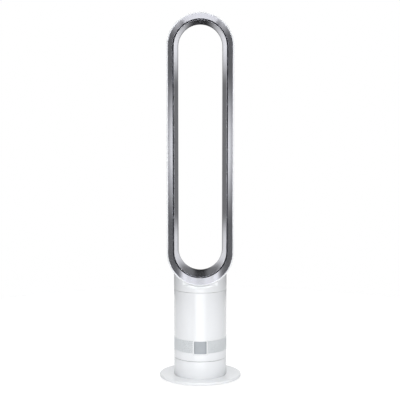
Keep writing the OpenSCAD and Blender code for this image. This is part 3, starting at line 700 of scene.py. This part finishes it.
# a cell's outline, as shares of its width and height; its hole has as many points
cellRim = ((0, 0), (0.5, 0), (1, 0), (1, 0.5), (1, 1), (0.5, 1), (0, 1), (0, 0.5))


def inletBand(v, look):
    low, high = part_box("inlet_band")
    radius = high.x
    cell = 2 * math.pi / v["around"]
    rowH = (high.z - low.z) / v["rows"]
    first = v["windowCells"] / 2
    made = bmesh.new()

    def point(u, z):  # u counts cells from the middle of the front
        a = u * cell - math.pi / 2
        return made.verts.new((radius * math.cos(a), radius * math.sin(a), z))

    def halfCell(u, z):  # fills a staggered row at its end
        made.faces.new([point(u, z), point(u + 0.5, z), point(u + 0.5, z + rowH), point(u, z + rowH)])

    def piercedCell(u, z):
        outer = [point(u + across, z + up * rowH) for across, up in cellRim]
        inner = []
        for k in range(len(cellRim)):
            a = math.radians(225 + 360 * k / len(cellRim))  # from the cell's lower left corner
            inner.append(point(u + 0.5 + v["holeR"] * math.cos(a) / (radius * cell),
                               z + rowH / 2 + v["holeR"] * math.sin(a)))
        for k in range(len(cellRim)):
            n = (k + 1) % len(cellRim)
            made.faces.new([outer[k], outer[n], inner[n], inner[k]])

    for row in range(v["rows"]):
        z = low.z + rowH * row
        cells = v["around"] - v["windowCells"]
        start = first
        if row % 2:
            halfCell(first, z)
            halfCell(first + cells - 0.5, z)
            cells -= 1
            start += 0.5
        for k in range(cells):
            piercedCell(start + k, z)
    bmesh.ops.remove_doubles(made, verts=made.verts, dist=v["weld"])
    piece = fromBmesh("inletBand", made)
    solid = piece.modifiers.new("skin", "SOLIDIFY")
    solid.thickness = v["skin"]
    solid.offset = -1
    applyModifiers(piece)
    standFor(piece, "tower", ["inlet_band"], mouldedPlastic("inletSkin", look))


inletBand(band, bandLook)
print("inlet band pierced")


# display window: a smoked cap that is pressed as the power button, in a white frame

window = {
    "corner": 0.0012,
    "cornerSteps": 6,
    "edge": 0.0004,
    "edgeIn": 0.3,  # the softened edge's middle point, as a share of it across
    "frameDown": 0.3,  # and down, on the frame and on the cap
    "capDown": 0.12,
    "capDepth": 0.0022,
    "frameDepth": 0.0022,
    "capGap": 0.00025,
    "capRings": 16,
    "longest": 0.0015,  # a straight stretch is cut into parts of this at most, so that it can bend
}

glassLook = {
    "colour": (0.29, 0.315, 0.34),
    "pale": 1.05,
    "cloudScale": 60,
    "cloudRange": (0.3, 0.7),
    "rough": 0.16,
    "roughDrift": 0.05,
    "coat": 0.4,
    "coatRough": 0.04,
}


def smokedGlass(name, look):
    material, m = newMaterial(name)
    cloud = m.noise(m.place(), look["cloudScale"], detail=3)
    pale = tone(look["colour"], look["pale"])
    m.surface({
        "Base Color": m.mix(cloud.step(*look["cloudRange"]), look["colour"], pale),
        "Roughness": look["rough"] + look["roughDrift"] * cloud,
        "Coat Weight": look["coat"],
        "Coat Roughness": look["coatRough"],
    })
    return material


def roundedRect(w, h, v):
    corners = []
    for acrossSign, upSign, start in ((1, 1, 0), (-1, 1, 90), (-1, -1, 180), (1, -1, 270)):
        x = acrossSign * (w / 2 - v["corner"])
        z = upSign * (h / 2 - v["corner"])
        for k in range(v["cornerSteps"] + 1):
            a = math.radians(start + 90 * k / v["cornerSteps"])
            corners.append((x + v["corner"] * math.cos(a), z + v["corner"] * math.sin(a)))
    outline = []
    for (x0, z0), (x1, z1) in zip(corners, corners[1:] + corners[:1]):
        parts = max(1, math.ceil(math.hypot(x1 - x0, z1 - z0) / v["longest"]))
        outline += [(x0 + (x1 - x0) * k / parts, z0 + (z1 - z0) * k / parts) for k in range(parts)]
    return outline


def flatSize(node, radius):  # a part's width along the round wall, its height, and its middle's height
    low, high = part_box(node)
    return 2 * radius * math.asin((high.x - low.x) / 2 / radius), high.z - low.z, (high.z + low.z) / 2


def onWall(x, z, radius, drop):  # bends a flat point round the body's wall, and sinks it straight back
    side = radius * math.sin(x / radius)
    return (side, -math.sqrt((radius + drop) ** 2 - side ** 2), z)


def windowCap(v):
    radius = tubeSize("upper_casing")[0]
    w, h, centreZ = flatSize("power_button", radius)
    edge = v["edge"]
    rim = [(0, -v["capDepth"]), (0, -edge), (edge * v["edgeIn"], -edge * v["capDown"]), (edge, 0)]
    layers = [(1 - 2 * inset / w, 1 - 2 * inset / h, drop) for inset, drop in rim]
    wide, tall, flat = layers[-1]
    for k in range(1, v["capRings"]):
        share = 1 - k / v["capRings"]
        layers.append((wide * share, tall * share, flat))
    outline = roundedRect(w, h, v)
    count = len(outline)
    verts = []
    for wide, tall, drop in layers:
        verts += [onWall(x * wide, centreZ + z * tall, radius, drop) for x, z in outline]
    faces = ringFaces(len(layers), count, closed=False)
    faces.append(tuple(range(len(verts) - count, len(verts))))
    faces.append(tuple(range(count))[::-1])
    glass = smokedGlass("smokedWindow", glassLook)
    meshPiece("powerButton", verts, faces, "button", ["power_button"], glass)


def windowFrame(v):  # a ring of wall round the cap, with softened edges
    radius = tubeSize("upper_casing")[0]
    w, h, centreZ = flatSize("window_frame", radius)
    capW, capH, capZ = flatSize("power_button", radius)
    rim = (w, h, centreZ)
    hole = (capW + 2 * v["capGap"], capH + 2 * v["capGap"], capZ)
    edge, depth = v["edge"], v["frameDepth"]
    across, down = edge * v["edgeIn"], edge * v["frameDown"]
    layers = [(rim, 0, -depth), (rim, 0, -edge), (rim, across, -down), (rim, edge, 0),
              (hole, -edge, 0), (hole, -across, -down), (hole, 0, -edge), (hole, 0, -depth)]
    outline = roundedRect(w, h, v)
    verts = []
    for (wide, tall, middle), inset, drop in layers:
        acrossShare, upShare = (wide - 2 * inset) / w, (tall - 2 * inset) / h
        verts += [onWall(x * acrossShare, middle + z * upShare, radius, drop) for x, z in outline]
    faces = ringFaces(len(layers), len(outline))
    meshPiece("windowFrame", verts, faces, "tower", ["window_frame"], whitePlastic)


windowCap(window)
windowFrame(window)
print("display window made")


# stage: a floor that glows a little, soft studio lights, and the surroundings

floorLook = {
    "radius": 1.35,
    "edges": 128,
    "drop": 0.0003,  # below the object's feet
    "colour": (0.52, 0.52, 0.525),
    "glow": 0.56,
    "rough": 0.9,
}

# mirrored says whether glossy surfaces show the light
lights = {
    "frontLight": {"at": (0, -2.7, 0.95), "aim": (0, 0, 0.55), "size": (2.1, 1.9), "power": 50,
                   "mirrored": True},
    "topLight": {"at": (0, 0.15, 2.7), "aim": (0, 0, 0), "size": (2.4, 2.0), "power": 70,
                 "mirrored": True},
    "rearLight": {"at": (0, 2.7, 0.95), "aim": (0, 0, 0.55), "size": (2.1, 1.9), "power": 24,
                  "mirrored": False},
}

# the surroundings: white to the camera, ambient to dull surfaces, shaded by direction to polished ones
surround = {
    "ambient": 0.05,
    "front": 0.035,
    "behindFrom": (-0.1, 0.25),
    "rear": 0.185,
    "rearLeast": 0.02,
    "rearGap": (0.10, 0.30),
    "sideDrop": 0.28,
    "sideFrom": (0.42, 0.6),
    "high": 0.86,
    "highFrom": (0.56, 0.76),
    "highLean": 0.08,
    "tiny": 0.0001,  # keeps the share sideways from dividing by zero
}


def makeFloor(v):
    made = bmesh.new()
    bmesh.ops.create_circle(made, cap_ends=True, radius=v["radius"], segments=v["edges"])
    floor = fromBmesh("floor", made)
    material, m = newMaterial("paleFloor")
    m.surface({
        "Base Color": (*v["colour"], 1),
        "Roughness": v["rough"],
        "Specular IOR Level": 0.0,
        "Emission Color": (1, 1, 1, 1),
        "Emission Strength": v["glow"],
    })
    paint(floor, material)
    floor.location.z = -v["drop"]


def softbox(name, v):
    data = bpy.data.lights.new(name, "AREA")
    data.shape = "RECTANGLE"
    data.size, data.size_y = v["size"]
    data.energy = v["power"]
    light = linked(name, data)
    light.location = v["at"]
    light.rotation_mode = "QUATERNION"
    light.rotation_quaternion = (Vector(v["aim"]) - Vector(v["at"])).to_track_quat("-Z", "Y")
    light.visible_camera = False
    light.visible_glossy = v["mirrored"]


def makeSurroundings(v):
    world = bpy.data.worlds.new("studio")
    world.use_nodes = True
    scene.world = world
    m = Maker(world.node_tree)
    seen = m.node("LightPath", out="Is Camera Ray")
    polished = Wire(m, seen.socket.node.outputs["Is Glossy Ray"])
    x, y, z = m.axes(m.node("TexCoord", out="Generated"))
    sideways = (x * x / (x * x + y * y + v["tiny"])) ** 0.5
    behind = y.step(*v["behindFrom"])
    dimmed = 1 - v["sideDrop"] * sideways.step(*v["sideFrom"])
    rear = v["rear"] * sideways.step(*v["rearGap"]) * dimmed + v["rearLeast"]
    rear = rear + v["high"] * (z + v["highLean"] * sideways).step(*v["highFrom"])
    mirror = behind * rear + (1 - behind) * v["front"]
    level = v["ambient"] * (1 - polished) + mirror * polished
    strength = seen + (1 - seen) * level
    background = m.node("Background", None, {"Color": (1, 1, 1, 1), "Strength": strength})
    m.node("OutputWorld", None, {"Surface": background})


# cards that only polished surfaces see; each fades out to its sides by a share of its width and height

sideCards = {
    "Sweep": {"at": (0.213, 0.3, 0.61), "size": (0.094, 0.51), "glow": 1.3, "fade": (0.2, 0.5)},
    "High": {"at": (0.095, 0.3, 0.97), "size": (0.14, 0.34), "glow": 1.08, "fade": (0.2, 0.36)},
    "Low": {"at": (0.095, 0.3, 0.217), "size": (0.13, 0.415), "glow": 0.92, "fade": (0.2, 0.22)},
}
frontCard = {"at": (0, -0.25, 0.13), "size": (0.172, 0.26), "glow": 3.0, "fade": (0.03, 0.03)}


def reflectionCard(name, v):
    made = bmesh.new()
    bmesh.ops.create_grid(made, x_segments=1, y_segments=1, size=0.5)
    card = fromBmesh(name, made)
    card.scale = (*v["size"], 1)
    card.location = v["at"]
    card.rotation_euler = (math.radians(90), 0, 0)
    material, m = newMaterial(name)
    x, y, z = m.axes(m.place())
    fadeX, fadeY = v["fade"]
    fade = (1 - x.size().step(0.5 - fadeX, 0.5)) * (1 - y.size().step(0.5 - fadeY, 0.5))
    glow = m.node("Emission", None, {"Color": (1, 1, 1, 1), "Strength": v["glow"]})
    clear = m.node("BsdfTransparent")
    shown = m.node("MixShader", None, {0: fade, 1: clear, 2: glow})
    m.node("OutputMaterial", None, {"Surface": shown})
    paint(card, material)
    for ray in ("visible_camera", "visible_diffuse", "visible_shadow", "visible_transmission"):
        setattr(card, ray, False)


makeFloor(floorLook)
for lightName, lightValues in lights.items():
    softbox(lightName, lightValues)
makeSurroundings(surround)
for cardName, cardValues in sideCards.items():
    cardX, cardY, cardZ = cardValues["at"]
    reflectionCard("left" + cardName, {**cardValues, "at": (-cardX, cardY, cardZ)})
    reflectionCard("right" + cardName, cardValues)
reflectionCard("frontStrip", frontCard)
print("stage lit")
